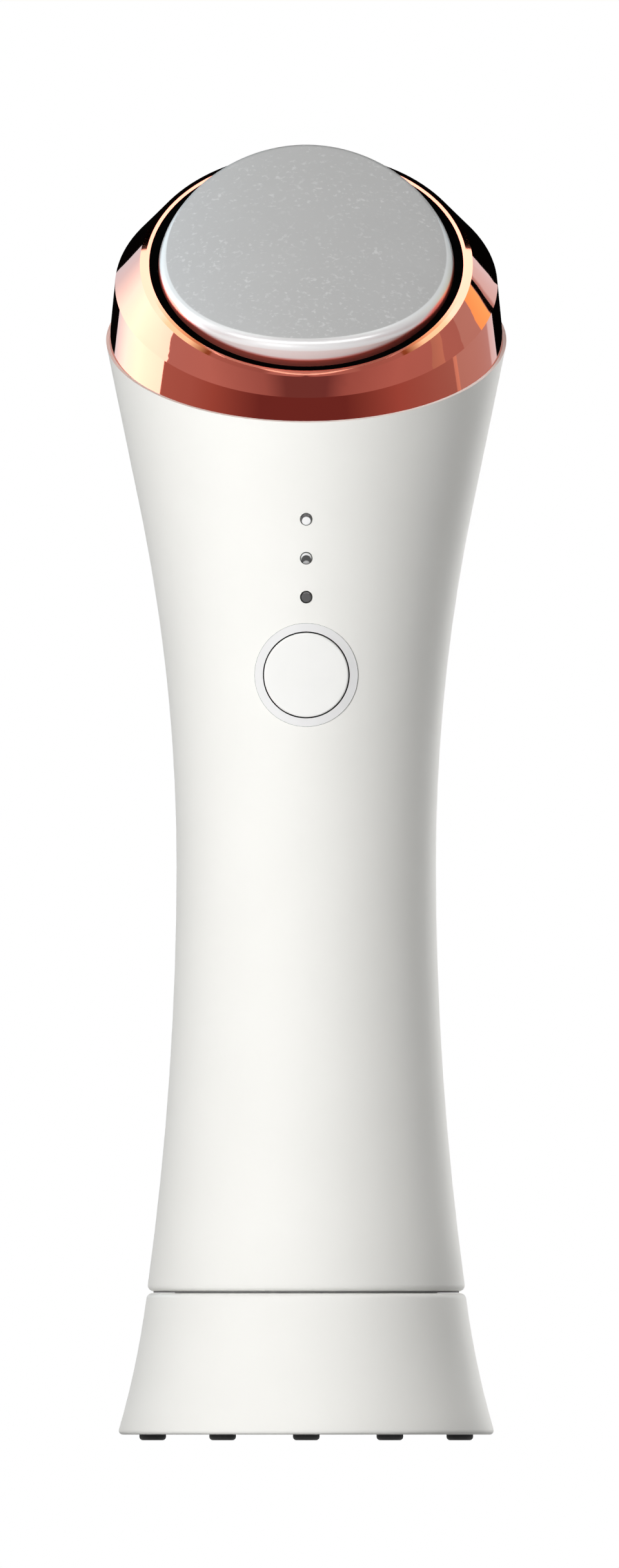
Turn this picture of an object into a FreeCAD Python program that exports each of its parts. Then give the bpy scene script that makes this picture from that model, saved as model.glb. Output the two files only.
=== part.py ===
import FreeCAD, Part
import math
import os

# Hot and cold face massager on its charging stand.
# Millimetres. Z is up, the front faces -Y, and X runs to the right as seen from the front.
# The origin is the middle of the circle of feet, on the surface that the stand rests on.

# Rubber feet
foot_height = 0.7
foot_radius = 1.65
foot_margin = 0.12
foot_side_angle = 33.0
foot_edge = 0.45
foot_pocket = 1.0

# Charging stand, outside
stand_base_radius = 23.3
stand_middle_radius = 21.1
stand_top_radius = 19.65
stand_top_z = 18.15
stand_top_edge = 0.8
stand_base_edge = 0.5
stand_wall = 1.7
deck_thickness = 2.0
spigot_gap = 0.9
spigot_wall = 2.0
spigot_edge = 0.6

# Charging stand, inside
base_plate_thickness = 2.4
base_plate_gap = 0.15
stand_boss_radius = 2.4
stand_boss_gap = 1.6
charge_board_radius = 11.0
charge_board_thickness = 1.6
charge_board_z = 9.8
board_tongue_width = 11.0
inlet_overhang = 3.3
charge_post_radius = 2.2
charge_post_circle = 8.4
charge_post_angles = (60.0, 180.0, 300.0)
inlet_width = 8.94
inlet_height = 3.26
inlet_depth = 7.4
inlet_shell_wall = 0.3
inlet_recess = 0.4
inlet_slot_gap = 0.25
tongue_width = 6.7
tongue_thickness = 0.7
tongue_length = 4.6

# Spring pins of the stand and contacts of the massager
pin_offset = 5.0
pin_radius = 0.8
pin_collar_radius = 1.1
pin_collar_height = 1.0
pin_running_gap = 0.05
pin_barrel_wall = 0.45
pin_barrel_below_top = 0.3
pin_barrel_lip = 1.0
pin_barrel_floor = 0.6
pin_contact_gap = 0.05
spring_wire_radius = 0.12
spring_turns = 6.0
contact_radius = 2.2
contact_thickness = 0.8
contact_stem_radius = 0.8
contact_stem_rise = 1.0

# Handle of the massager, outside
seam_gap = 0.25
waist_radius = 16.0
waist_z = 71.0
lower_flare = 380.0
upper_flare = 217.0
flare_end_z = 114.9
handle_wall = 2.0
handle_edge = 0.7
lip_z = 134.85
lip_tilt = 22.3
lip_reveal = 0.4

# Rubber seat in the handle's bottom edge
seat_pocket = 0.6
seat_inset = 0.1
seat_wall = 0.5
seat_clearance = 0.05

# Trim ring of the head
facet_half_width = 23.6
facet_half_length = 28.0
facet_tilt = 29.8
facet_y = 2.42
facet_z = 142.5
head_tilt = 36.0
head_y = -1.0
head_z = 145.1
rim_half_width = 19.4
rim_half_length = 22.4
rim_land = 0.45
rim_bevel = 0.7
rim_bevel_drop = 0.1
rim_lip_depth = 1.6
rim_lip_overlap = 0.5
ring_bore_depth = 11.0
ring_wall = 2.2
ring_roof = 3.5
skirt_gap = 0.1
skirt_wall = 1.4
skirt_depth = 4.0
skirt_root = 0.6

# Massage plate and the stack behind it, measured along the plate's normal from the rim
groove_width = 1.1
plate_crown_height = 3.25
plate_crown_radius = 56.0
plate_edge = 1.1
plate_flange_width = 1.0
plate_flange_thickness = 1.2
insulator_below_rim = 0.1
insulator_gap = 0.1
insulator_flange_thickness = 0.55
frame_thickness = 2.4
peltier_side = 20.0
peltier_thickness = 3.4
peltier_gap = 0.3
thermal_pad_thickness = 0.5
sink_length = 24.0
sink_edge = 0.2
sink_base = 2.6
fin_length = 6.1
fin_thickness = 1.0
fin_pitch = 2.8
fin_count = 7
foam_wall = 1.2
foam_edge = 0.5
lead_notch_width = 9.0
sink_screw_wall = 0.4
sink_screw_u = 8.0
sink_screw_grip = 2.2
thermistor_radius = 1.0
thermistor_length = 2.4
thermistor_x = 15.0

# Screws and general fits
screw_radius = 1.0
screw_head_radius = 1.9
screw_head_height = 1.3
drive_length = 2.4
drive_width = 0.55
drive_depth = 0.75
thread_gap = 0.02
screw_clearance = 0.2
fit_gap = 0.05
part_gap = 0.1

# Bottom cap of the massager
socket_depth = 4.0
cap_thickness = 3.2
seal_section = 0.5
seal_below_top = 0.8
cap_boss_radius = 2.4
cap_boss_circle = 12.4
cap_boss_height = 7.0
cap_boss_angles = (90.0, 210.0, 330.0)
cap_rib_thickness = 1.6
cap_rib_root = 0.8
cap_screw_grip = 5.0
foot_screw_y = 6.2

# Chassis inside the handle
chassis_half_width = 10.5
chassis_front_y = -4.4
chassis_thickness = 1.5
chassis_top_z = 120.0
chassis_foot_half_width = 9.0
chassis_foot_half_depth = 7.9
chassis_foot_thickness = 2.0
standoff_radius = 2.2
standoff_height = 1.2
board_screw_x = 7.5
board_screw_low_z = 62.0
board_screw_high_z = 115.0
board_screw_grip = 2.2
saddle_half_width = 8.6
saddle_depth = 5.6
saddle_height = 4.0
saddle_end_gap = 8.0
stop_thickness = 1.6
stop_depth = 9.0

# Battery
battery_radius = 7.0
battery_length = 43.0
battery_bottom_z = 34.2
battery_y = 4.7
tab_thickness = 0.2
tab_width = 4.0
tab_reach = 9.9

# Main board
board_half_width = 10.0
board_thickness = 1.6
board_bottom_z = 56.0
board_top_z = 118.0
chip_half = 3.5
chip_thickness = 1.1
chip_z = 78.0
charger_half = 2.0
charger_thickness = 0.9
charger_z = 68.0
coil_half = 2.5
coil_thickness = 2.2
coil_x = 6.5
coil_z = 71.0
led_width = 1.6
led_height = 0.8
led_thickness = 0.7

# Indicator light pipes
pipe_radius = 0.74
pipe_fit = 0.04
pipe_middle_z = 108.8
pipe_pitch = 4.8
pipe_led_gap = 0.2
pipe_dome = 0.3

# Power button and switch
button_z = 94.4
button_radius = 5.22
button_running_gap = 0.14
button_proud = 0.05
button_face_radius = 34.0
button_edge = 0.25
button_flange_radius = 6.2
button_flange_thickness = 0.8
button_travel = 0.4
bezel_radius = 6.37
bezel_proud = 0.15
bezel_fit = 0.03
switch_side = 6.0
switch_height = 3.5
switch_cup = 1.2
plunger_radius = 1.7
plunger_rise = 0.9
plunger_running_gap = 0.08
plunger_button_gap = 0.05

# Vibration motor
motor_radius = 5.0
motor_length = 18.0
motor_bottom_z = 98.0
motor_y = 2.6
motor_saddle_half_width = 6.8
motor_saddle_z = 105.0
motor_saddle_height = 6.0
strap_thickness = 0.5
strap_ear = 1.3
shaft_radius = 0.75
shaft_running_gap = 0.05
shaft_grip = 6.0
shaft_reach = 8.4
shaft_end_gap = 0.4
weight_radius = 4.4
weight_height = 6.0
weight_drop = 1.6
weight_hub_radius = 1.7
weight_fit = 0.01

# Leads
lead_radius = 0.5
lead_hole_gap = 0.35
peltier_lead_x = 3.0
sink_lead_gap = 1.5
motor_lead_x = 2.0
motor_lead_board_x = 6.0
lead_arch = 2.0
battery_lead_x = 9.4
low_lead_z = 60.0
charge_lead_lift = 1.3
lead_seat = 0.02

# How far construction solids run past the part, and how closely edges are matched
overrun = 60.0
match = 0.001

V = FreeCAD.Vector
ORIGIN = V(0, 0, 0)
X_AXIS = V(1, 0, 0)
Y_AXIS = V(0, 1, 0)
Z_AXIS = V(0, 0, 1)
nodes = {}


def box(x0, x1, y0, y1, z0, z1):
    return Part.makeBox(x1 - x0, y1 - y0, z1 - z0, V(x0, y0, z0))


def rod(radius, x, y, z0, z1):
    return Part.makeCylinder(radius, z1 - z0, V(x, y, z0), Z_AXIS)


def rod_y(radius, x, z, y0, y1):
    return Part.makeCylinder(radius, y1 - y0, V(x, y0, z), Y_AXIS)


def joined(shapes):
    result = shapes[0]
    if len(shapes) > 1:
        result = shapes[0].multiFuse(shapes[1:]).removeSplitter()
    return result


def on_circle(radius, angle):
    turn = math.radians(angle)
    return radius * math.sin(turn), -radius * math.cos(turn)


def circle_edges(shape, radius, z):
    found = []
    for edge in shape.Edges:
        curve = edge.Curve
        if isinstance(curve, Part.Circle):
            if abs(curve.Radius - radius) < match and abs(curve.Center.z - z) < match:
                found.append(edge)
    return found


def revolved(edges):
    face = Part.Face(Part.Wire(edges))
    return face.revolve(ORIGIN, Z_AXIS, 360)


def line(r0, z0, r1, z1):
    return Part.makeLine(V(r0, 0, z0), V(r1, 0, z1))


def arc(r0, z0, r1, z1, r2, z2):
    return Part.Arc(V(r0, 0, z0), V(r1, 0, z1), V(r2, 0, z2)).toShape()


def lead(points, radius):
    pieces = []
    for start, end in zip(points[:-1], points[1:]):
        step = end.sub(start)
        pieces.append(Part.makeCylinder(radius, step.Length, start, step))
    for corner in points[1:-1]:
        pieces.append(Part.makeSphere(radius, corner))
    return joined(pieces)


def upright_screw(length):
    # A screw whose head is seated at the origin, with its tip below and a cross drive in the head.
    body = joined([rod(screw_radius, 0, 0, -length, 0), rod(screw_head_radius, 0, 0, 0, screw_head_height)])
    long = drive_length / 2
    short = drive_width / 2
    floor = screw_head_height - drive_depth
    cross = [box(-long, long, -short, short, floor, screw_head_height),
             box(-short, short, -long, long, floor, screw_head_height)]
    return body.cut(joined(cross))


def screw(x, y, z_seat, z_tip):
    # The head lies beyond the seat, on the side away from the tip.
    placed = upright_screw(abs(z_tip - z_seat))
    if z_tip > z_seat:
        placed.rotate(ORIGIN, X_AXIS, 180)
    placed.translate(V(x, y, z_seat))
    return placed


# Flared outline of the stand: an arc through three points
stand_mid_z = (foot_height + stand_top_z) / 2


def stand_circle():
    curve = arc(stand_base_radius, foot_height, stand_middle_radius, stand_mid_z,
                stand_top_radius, stand_top_z).Curve
    return curve.Center.x, curve.Center.z, curve.Radius


stand_cx, stand_cz, stand_flare = stand_circle()
stand_side = 1 if stand_cx > stand_base_radius else -1


def stand_r(z):
    return stand_cx - stand_side * math.sqrt(stand_flare ** 2 - (z - stand_cz) ** 2)


# Waisted outline of the handle: two arcs that meet at the waist, then a straight cone
flare_angle = math.asin((flare_end_z - waist_z) / upper_flare)
cone_slope = math.tan(flare_angle)


def cone_start(inset):
    z = waist_z + (upper_flare + inset) * math.sin(flare_angle)
    r = waist_radius + upper_flare - (upper_flare + inset) * math.cos(flare_angle)
    return r, z


def handle_r(z, inset):
    start_r, start_z = cone_start(inset)
    if z > start_z:
        return start_r + (z - start_z) * cone_slope
    flare = upper_flare if z > waist_z else lower_flare
    return waist_radius + flare - math.sqrt((flare + inset) ** 2 - (z - waist_z) ** 2)


def handle_solid(inset, z0, z1):
    start_r, start_z = cone_start(inset)
    r0 = handle_r(z0, inset)
    r1 = handle_r(z1, inset)
    neck = waist_radius - inset
    low_mid = (z0 + waist_z) / 2
    high_mid = (waist_z + start_z) / 2
    return revolved([
        line(0, z0, r0, z0),
        arc(r0, z0, handle_r(low_mid, inset), low_mid, neck, waist_z),
        arc(neck, waist_z, handle_r(high_mid, inset), high_mid, start_r, start_z),
        line(start_r, start_z, r1, z1),
        line(r1, z1, 0, z1),
        line(0, z1, 0, z0)])


def cone_solid(inset, z0, z1):
    r0 = handle_r(z0, inset)
    r1 = handle_r(z1, inset)
    return Part.makeCone(r0, r1, z1 - z0, V(0, 0, z0), Z_AXIS)


def above_lip(drop):
    reach = 2 * overrun
    block = box(-reach, reach, -reach, reach, 0, reach)
    turn = FreeCAD.Rotation(X_AXIS, lip_tilt)
    shift = turn.multVec(V(0, 0, -drop))
    block.Placement = FreeCAD.Placement(V(0, 0, lip_z) + shift, turn)
    return block


def oval_wire(y, z, half_width, half_length, tilt):
    turn = FreeCAD.Rotation(X_AXIS, tilt)
    circle = Part.makeCircle(1)
    stretch = FreeCAD.Matrix()
    stretch.A11 = half_width
    stretch.A22 = half_length
    wire = Part.Wire([circle.transformGeometry(stretch)])
    wire.Placement = FreeCAD.Placement(V(0, y, z), turn)
    return wire


def below(y, z, depth, tilt):
    # The point at a depth under the middle of a tilted oval.
    turn = math.radians(tilt)
    return y + depth * math.sin(turn), z - depth * math.cos(turn)


def lip_wire(inset, trim, drop):
    # The oval in which the lip plane, lowered by the drop, meets the cone of the handle.
    # The inset follows the handle's wall inwards and the trim draws the oval in further.
    turn = math.radians(lip_tilt)
    slope = math.tan(turn)
    level = lip_z - drop / math.cos(turn)
    lean = cone_slope * slope
    reach = handle_r(level, inset)
    shorten = 1 - lean ** 2
    y = reach * lean / shorten
    half_width = reach / math.sqrt(shorten) - trim
    half_length = (reach / shorten - trim) / math.cos(turn)
    return oval_wire(y, level + slope * y, half_width, half_length, lip_tilt)


head_place = FreeCAD.Placement(V(0, head_y, head_z), FreeCAD.Rotation(X_AXIS, head_tilt))


def in_head(shape):
    placed = shape.copy()
    placed.Placement = head_place.multiply(placed.Placement)
    return placed


def oval(half_width, half_length, w0, w1):
    # An elliptical slab in the head's own frame: X across, Y up the slope, Z along the normal.
    large = max(half_width, half_length)
    small = min(half_width, half_length)
    edge = Part.Ellipse(ORIGIN, large, small).toShape()
    if half_length > half_width:
        edge.rotate(ORIGIN, Z_AXIS, 90)
    slab = Part.Face(Part.Wire([edge])).extrude(V(0, 0, w1 - w0))
    slab.translate(V(0, 0, w0))
    return slab


# Heights that follow from the sizes above
base_plate_top = foot_height + base_plate_thickness
deck_under = stand_top_z - deck_thickness
handle_bottom_z = stand_top_z + seam_gap
cap_under = handle_bottom_z + socket_depth
cap_top = cap_under + cap_thickness
spigot_top = cap_under
spigot_inside = spigot_top - spigot_wall
spigot_radius = handle_r(spigot_top, handle_wall) - spigot_gap
charge_board_top = charge_board_z + charge_board_thickness

# The bosses of the stand lie round the charging board, midway between the feet
stand_boss_circle = charge_board_radius + stand_boss_gap + stand_boss_radius
boss_turn = (foot_side_angle + 90) / 2
stand_boss_spots = [on_circle(stand_boss_circle, angle)
                    for angle in (boss_turn, 180 - boss_turn, 180 + boss_turn, 360 - boss_turn)]


# Stand shell
def build_stand():
    outer = revolved([
        line(0, foot_height, stand_base_radius, foot_height),
        arc(stand_base_radius, foot_height, stand_middle_radius, stand_mid_z,
            stand_top_radius, stand_top_z),
        line(stand_top_radius, stand_top_z, spigot_radius, stand_top_z),
        line(spigot_radius, stand_top_z, spigot_radius, spigot_top),
        line(spigot_radius, spigot_top, 0, spigot_top),
        line(0, spigot_top, 0, foot_height)])
    top_edge = min(stand_top_edge, (stand_top_radius - spigot_radius) / 2)
    outer = outer.makeFillet(top_edge, circle_edges(outer, stand_top_radius, stand_top_z))
    outer = outer.makeFillet(stand_base_edge, circle_edges(outer, stand_base_radius, foot_height))
    outer = outer.makeFillet(spigot_edge, circle_edges(outer, spigot_radius, spigot_top))
    inside_mid = (foot_height + deck_under) / 2
    hollow_r = spigot_radius - spigot_wall
    hollow = revolved([
        line(0, foot_height, stand_r(foot_height) - stand_wall, foot_height),
        arc(stand_r(foot_height) - stand_wall, foot_height, stand_r(inside_mid) - stand_wall, inside_mid,
            stand_r(deck_under) - stand_wall, deck_under),
        line(stand_r(deck_under) - stand_wall, deck_under, hollow_r, deck_under),
        line(hollow_r, deck_under, hollow_r, spigot_inside),
        line(hollow_r, spigot_inside, 0, spigot_inside),
        line(0, spigot_inside, 0, foot_height)])
    shell = outer.cut(hollow)
    bosses = []
    pilots = []
    pilot_end = base_plate_top + cap_screw_grip + part_gap
    for x, y in stand_boss_spots:
        boss = rod(stand_boss_radius, x, y, base_plate_top, stand_top_z - deck_thickness / 2)
        bosses.append(boss.common(outer))
        pilots.append(rod(screw_radius + thread_gap, x, y, base_plate_top, pilot_end))
    shell = joined([shell] + bosses)
    barrel_hole = pin_collar_radius + pin_running_gap + pin_barrel_wall + fit_gap
    for side in (-1, 1):
        pilots.append(rod(barrel_hole, side * pin_offset, 0, deck_under, spigot_top + overrun))
    pilots.append(inlet_body(inlet_slot_gap, 0, overrun))
    return shell.cut(joined(pilots))


def inlet_body(grow, y0, y1):
    # Flat-sided round-ended bar along Y at the height of the inlet, grown all round.
    half_width = inlet_width / 2 + grow
    half_height = inlet_height / 2 + grow
    z = charge_board_z - inlet_height / 2 - fit_gap
    flat = half_width - half_height
    bar = box(-flat, flat, y0, y1, z - half_height, z + half_height)
    ends = [rod_y(half_height, side * flat, z, y0, y1) for side in (-1, 1)]
    return joined([bar] + ends)


nodes["stand_shell"] = build_stand()

# Stand base plate, feet and screws
base_opening = min(stand_r(foot_height), stand_r(base_plate_top)) - stand_wall
base_plate_radius = base_opening - base_plate_gap
foot_circle_radius = base_plate_radius - foot_margin - fit_gap - foot_radius
plate_blank = rod(base_plate_radius, 0, 0, foot_height, base_plate_top)
charge_posts = []
base_holes = []
base_screws = []
charge_screws = []
foot_solids = []
for angle in charge_post_angles:
    x, y = on_circle(charge_post_circle, angle)
    charge_posts.append(rod(charge_post_radius, x, y, base_plate_top - part_gap, charge_board_z))
    base_holes.append(rod(screw_radius + thread_gap, x, y, charge_board_z - cap_screw_grip, charge_board_z))
    charge_screws.append(screw(x, y, charge_board_top, charge_board_z - cap_screw_grip + part_gap))
seat = foot_height + screw_head_height
for x, y in stand_boss_spots:
    base_holes.append(rod(screw_radius + screw_clearance, x, y, foot_height, base_plate_top))
    base_holes.append(rod(screw_head_radius + screw_clearance, x, y, foot_height, seat))
    base_screws.append(screw(x, y, seat, base_plate_top + cap_screw_grip))
side = foot_side_angle
for angle in (0, side, 90, 180 - side, 180, 180 + side, 270, 360 - side):
    x, y = on_circle(foot_circle_radius, angle)
    foot = rod(foot_radius, x, y, 0, foot_height + foot_pocket)
    foot = foot.makeFillet(foot_edge, circle_edges(foot, foot_radius, 0))
    foot_solids.append(foot)
    base_holes.append(rod(foot_radius + fit_gap, x, y, foot_height, foot_height + foot_pocket))
nodes["stand_base_plate"] = joined([plate_blank] + charge_posts).cut(joined(base_holes))
nodes["stand_feet"] = Part.makeCompound(foot_solids)
nodes["stand_screws"] = Part.makeCompound(base_screws)
nodes["charge_board_screws"] = Part.makeCompound(charge_screws)

# Charging board, inlet and spring pins
inlet_face = stand_r(charge_board_z - inlet_height / 2) - inlet_recess
inlet_back = inlet_face - inlet_depth
board_disc = rod(charge_board_radius, 0, 0, charge_board_z, charge_board_top)
board_tongue = box(-board_tongue_width / 2, board_tongue_width / 2, 0, inlet_face - inlet_overhang,
                   charge_board_z, charge_board_top)
charge_board_holes = []
for angle in charge_post_angles:
    x, y = on_circle(charge_post_circle, angle)
    charge_board_holes.append(rod(screw_radius + screw_clearance, x, y, charge_board_z, charge_board_top))
nodes["charge_board"] = joined([board_disc, board_tongue]).cut(joined(charge_board_holes))
inlet_outer = inlet_body(0, inlet_back, inlet_face)
inlet_inner = inlet_body(-inlet_shell_wall, inlet_back + inlet_shell_wall, inlet_face + overrun)
nodes["usb_inlet"] = inlet_outer.cut(inlet_inner)
tongue_z = charge_board_z - inlet_height / 2 - fit_gap
tongue_root = inlet_back + inlet_shell_wall
nodes["usb_tongue"] = box(-tongue_width / 2, tongue_width / 2, tongue_root, tongue_root + tongue_length,
                          tongue_z - tongue_thickness / 2, tongue_z + tongue_thickness / 2)

barrel_top = spigot_top - pin_barrel_below_top
barrel_bore = pin_collar_radius + pin_running_gap
barrel_radius = barrel_bore + pin_barrel_wall
collar_top = barrel_top - pin_barrel_lip - fit_gap
pin_tip = cap_under - pin_contact_gap
spring_base = charge_board_top + pin_barrel_floor
spring_top = collar_top - pin_collar_height


def build_spring(x):
    coil_radius = barrel_bore - spring_wire_radius - pin_running_gap
    z0 = spring_base + spring_wire_radius + lead_seat
    height = spring_top - z0 - spring_wire_radius - lead_seat
    path = Part.Wire(Part.makeHelix(height / spring_turns, height, coil_radius).Edges)
    ring = Part.Wire([Part.makeCircle(spring_wire_radius, V(coil_radius, 0, 0), Y_AXIS)])
    spring = path.makePipeShell([ring], True, True)
    spring.translate(V(x, 0, z0))
    return spring


def build_barrel(x):
    tube = rod(barrel_radius, x, 0, charge_board_top, barrel_top)
    bore = rod(barrel_bore, x, 0, spring_base, barrel_top - pin_barrel_lip)
    mouth = rod(pin_radius + pin_running_gap, x, 0, spring_base, barrel_top)
    return tube.cut(joined([bore, mouth]))


def build_pin(x):
    stem = rod(pin_radius, x, 0, spring_top, pin_tip)
    stem = stem.makeFillet(pin_radius / 2, circle_edges(stem, pin_radius, pin_tip))
    collar = rod(pin_collar_radius, x, 0, spring_top, collar_top)
    return joined([stem, collar])


nodes["pin_barrels"] = Part.makeCompound([build_barrel(-pin_offset), build_barrel(pin_offset)])
nodes["pin_spring_left"] = build_spring(-pin_offset)
nodes["pin_spring_right"] = build_spring(pin_offset)
nodes["spring_pin_left"] = build_pin(-pin_offset)
nodes["spring_pin_right"] = build_pin(pin_offset)

# Where the small parts of the handle lie
board_back = chassis_front_y - standoff_height
board_front = board_back - board_thickness
switch_front = board_front - switch_height
plunger_top = switch_front - plunger_rise
button_flange_back = plunger_top - plunger_button_gap
button_flange_front = button_flange_back - button_flange_thickness
bezel_back = button_flange_front - part_gap
shell_top = lip_z + overrun
pipe_heights = {"high": pipe_middle_z + pipe_pitch, "mid": pipe_middle_z, "low": pipe_middle_z - pipe_pitch}


# Handle shell, and the rubber seat that closes the seam to the stand
def seat_solid(gap, z0, z1):
    outer = handle_r(handle_bottom_z, 0) - handle_edge - seat_inset
    inner = handle_r(handle_bottom_z, handle_wall) + seat_wall
    return rod(outer + gap, 0, 0, z0, z1).cut(rod(inner - gap, 0, 0, z0, z1))


def build_handle():
    outer = handle_solid(0, handle_bottom_z, shell_top)
    bottom_edge = circle_edges(outer, handle_r(handle_bottom_z, 0), handle_bottom_z)
    outer = outer.makeFillet(handle_edge, bottom_edge)
    inner = handle_solid(handle_wall, handle_bottom_z - seam_gap, shell_top + seam_gap)
    shell = outer.cut(inner)
    additions = []
    holes = []
    for angle in cap_boss_angles:
        x, y = on_circle(cap_boss_circle, angle)
        additions.append(rod(cap_boss_radius, x, y, cap_top, cap_top + cap_boss_height))
        reach = handle_r(cap_top + cap_boss_height, handle_wall) + cap_rib_root
        rib = box(-cap_rib_thickness / 2, cap_rib_thickness / 2, -reach, -cap_boss_circle,
                  cap_top, cap_top + cap_boss_height)
        rib.rotate(ORIGIN, Z_AXIS, angle)
        additions.append(rib)
        holes.append(rod(screw_radius + thread_gap, x, y, cap_top, cap_top + cap_screw_grip + part_gap))
    shell = joined([shell] + additions)
    holes.append(rod_y(bezel_radius + bezel_fit, 0, button_z, -overrun, 0))
    for z in pipe_heights.values():
        holes.append(rod_y(pipe_radius + pipe_fit, 0, z, -overrun, 0))
    holes.append(seat_solid(fit_gap, handle_bottom_z - seam_gap, handle_bottom_z + seat_pocket))
    return shell.cut(joined(holes)).cut(above_lip(0))


nodes["handle_shell"] = build_handle()
nodes["seat_ring"] = seat_solid(0, stand_top_z + seat_clearance, handle_bottom_z + seat_pocket - fit_gap)


# Trim ring
bore_half_width = rim_half_width + rim_lip_overlap
bore_half_length = rim_half_length + rim_lip_overlap


def build_ring():
    rim_outer_width = rim_half_width + rim_land
    rim_outer_length = rim_half_length + rim_land
    facet = oval_wire(facet_y, facet_z, facet_half_width, facet_half_length, facet_tilt)
    bevel = oval_wire(*below(head_y, head_z, rim_bevel_drop, head_tilt),
                      rim_outer_width + rim_bevel, rim_outer_length + rim_bevel, head_tilt)
    rim = oval_wire(head_y, head_z, rim_outer_width, rim_outer_length, head_tilt)
    outside = Part.makeLoft([lip_wire(0, lip_reveal, 0), facet, bevel, rim], True, True)
    skirt_inset = handle_wall + skirt_gap
    inside_inset = skirt_inset + skirt_wall
    skirt = cone_solid(skirt_inset, cone_start(inside_inset)[1], shell_top)
    skirt = skirt.cut(above_lip(-skirt_root)).common(above_lip(skirt_depth))
    roof = oval_wire(*below(facet_y, facet_z, ring_roof, facet_tilt),
                     facet_half_width - ring_wall, facet_half_length - ring_wall, facet_tilt)
    cavity = Part.makeLoft([lip_wire(inside_inset, 0, skirt_depth + skirt_root), roof], True, True)
    mouth = in_head(oval(rim_half_width, rim_half_length, -ring_bore_depth, overrun))
    bore = in_head(oval(bore_half_width, bore_half_length, -ring_bore_depth, -rim_lip_depth))
    ring = outside.fuse(skirt)
    for tool in (cavity, mouth, bore):
        ring = ring.cut(tool)
    return ring


nodes["trim_ring"] = build_ring()

# Massage plate and its stack
plate_half_width = rim_half_width - groove_width
plate_half_length = rim_half_length - groove_width
insulator_flange_top = -rim_lip_depth - fit_gap
flange_top = insulator_flange_top - insulator_flange_thickness
plate_under = flange_top - plate_flange_thickness
frame_under = plate_under - frame_thickness
peltier_under = plate_under - peltier_thickness
pad_under = peltier_under - thermal_pad_thickness
sink_under = pad_under - sink_base
sink_screw_x = peltier_side / 2 + peltier_gap + sink_screw_wall + screw_radius + screw_clearance
sink_half_width = sink_screw_x + screw_head_radius + sink_edge
sink_screw_spots = [(sx * sink_screw_x, su * sink_screw_u) for sx in (-1, 1) for su in (-1, 1)]


def build_plate():
    disc = oval(plate_half_width, plate_half_length, plate_under, plate_crown_height + plate_edge)
    crown = Part.makeCylinder(plate_crown_radius, 2 * overrun,
                              V(0, -overrun, plate_crown_height - plate_crown_radius), Y_AXIS)
    disc = disc.common(crown)
    rim_edges = []
    for face in disc.Faces:
        if isinstance(face.Surface, Part.Cylinder):
            rim_edges = face.OuterWire.Edges
    disc = disc.makeFillet(plate_edge, rim_edges)
    flange = oval(plate_half_width + plate_flange_width, plate_half_length + plate_flange_width,
                  plate_under, flange_top)
    plate = joined([disc, flange])
    holes = [rod(screw_radius + thread_gap, x, u, plate_under, plate_under + sink_screw_grip + part_gap)
             for x, u in sink_screw_spots]
    return plate.cut(joined(holes))


def build_insulator():
    sleeve = oval(rim_half_width - part_gap, rim_half_length - part_gap, flange_top, -insulator_below_rim)
    flange = oval(bore_half_width - part_gap, bore_half_length - part_gap, flange_top, insulator_flange_top)
    hole = oval(plate_half_width + insulator_gap, plate_half_length + insulator_gap, plate_under, overrun)
    return joined([sleeve, flange]).cut(hole)


def build_frame():
    frame = oval(bore_half_width - part_gap, bore_half_length - part_gap, frame_under, plate_under)
    half = peltier_side / 2 + peltier_gap
    holes = [box(-half, half, -half, half, frame_under, plate_under)]
    for x, u in sink_screw_spots:
        holes.append(rod(screw_radius + screw_clearance, x, u, frame_under, plate_under))
    holes.append(rod(thermistor_radius + fit_gap, thermistor_x, 0, frame_under, plate_under))
    return frame.cut(joined(holes))


def build_foam():
    half = peltier_side / 2 + peltier_gap
    half_width = sink_half_width - foam_edge
    half_length = half + foam_wall
    foam = box(-half_width, half_width, -half_length, half_length, pad_under, frame_under)
    holes = [box(-half, half, -half, half, pad_under, frame_under)]
    holes.append(box(-lead_notch_width / 2, lead_notch_width / 2, -half_length, 0, pad_under, frame_under))
    for x, u in sink_screw_spots:
        holes.append(rod(screw_radius + screw_clearance, x, u, pad_under, frame_under))
    return foam.cut(joined(holes))


def build_sink():
    base = box(-sink_half_width, sink_half_width, -sink_length / 2, sink_length / 2, sink_under, pad_under)
    fin_tip = sink_under - fin_length
    pieces = [base]
    for index in range(fin_count):
        x = (index - (fin_count - 1) / 2) * fin_pitch
        pieces.append(box(x - fin_thickness / 2, x + fin_thickness / 2, -sink_length / 2, sink_length / 2,
                          fin_tip, sink_under))
    holes = [rod(screw_radius + screw_clearance, x, u, sink_under, pad_under) for x, u in sink_screw_spots]
    for x, u in sink_screw_spots:
        holes.append(rod(screw_head_radius + screw_clearance, x, u, fin_tip, sink_under))
    return joined(pieces).cut(joined(holes))


peltier_half = peltier_side / 2
nodes["massage_plate"] = in_head(build_plate())
nodes["plate_insulator"] = in_head(build_insulator())
nodes["head_frame"] = in_head(build_frame())
nodes["peltier_module"] = in_head(
    box(-peltier_half, peltier_half, -peltier_half, peltier_half, peltier_under, plate_under))
nodes["thermal_pad"] = in_head(
    box(-peltier_half, peltier_half, -peltier_half, peltier_half, pad_under, peltier_under))
nodes["foam_gasket"] = in_head(build_foam())
nodes["heat_sink"] = in_head(build_sink())
nodes["sink_screws"] = in_head(Part.makeCompound(
    [screw(x, u, sink_under, plate_under + sink_screw_grip) for x, u in sink_screw_spots]))
nodes["thermistor"] = in_head(
    rod(thermistor_radius, thermistor_x, 0, plate_under - thermistor_length, plate_under))

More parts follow.
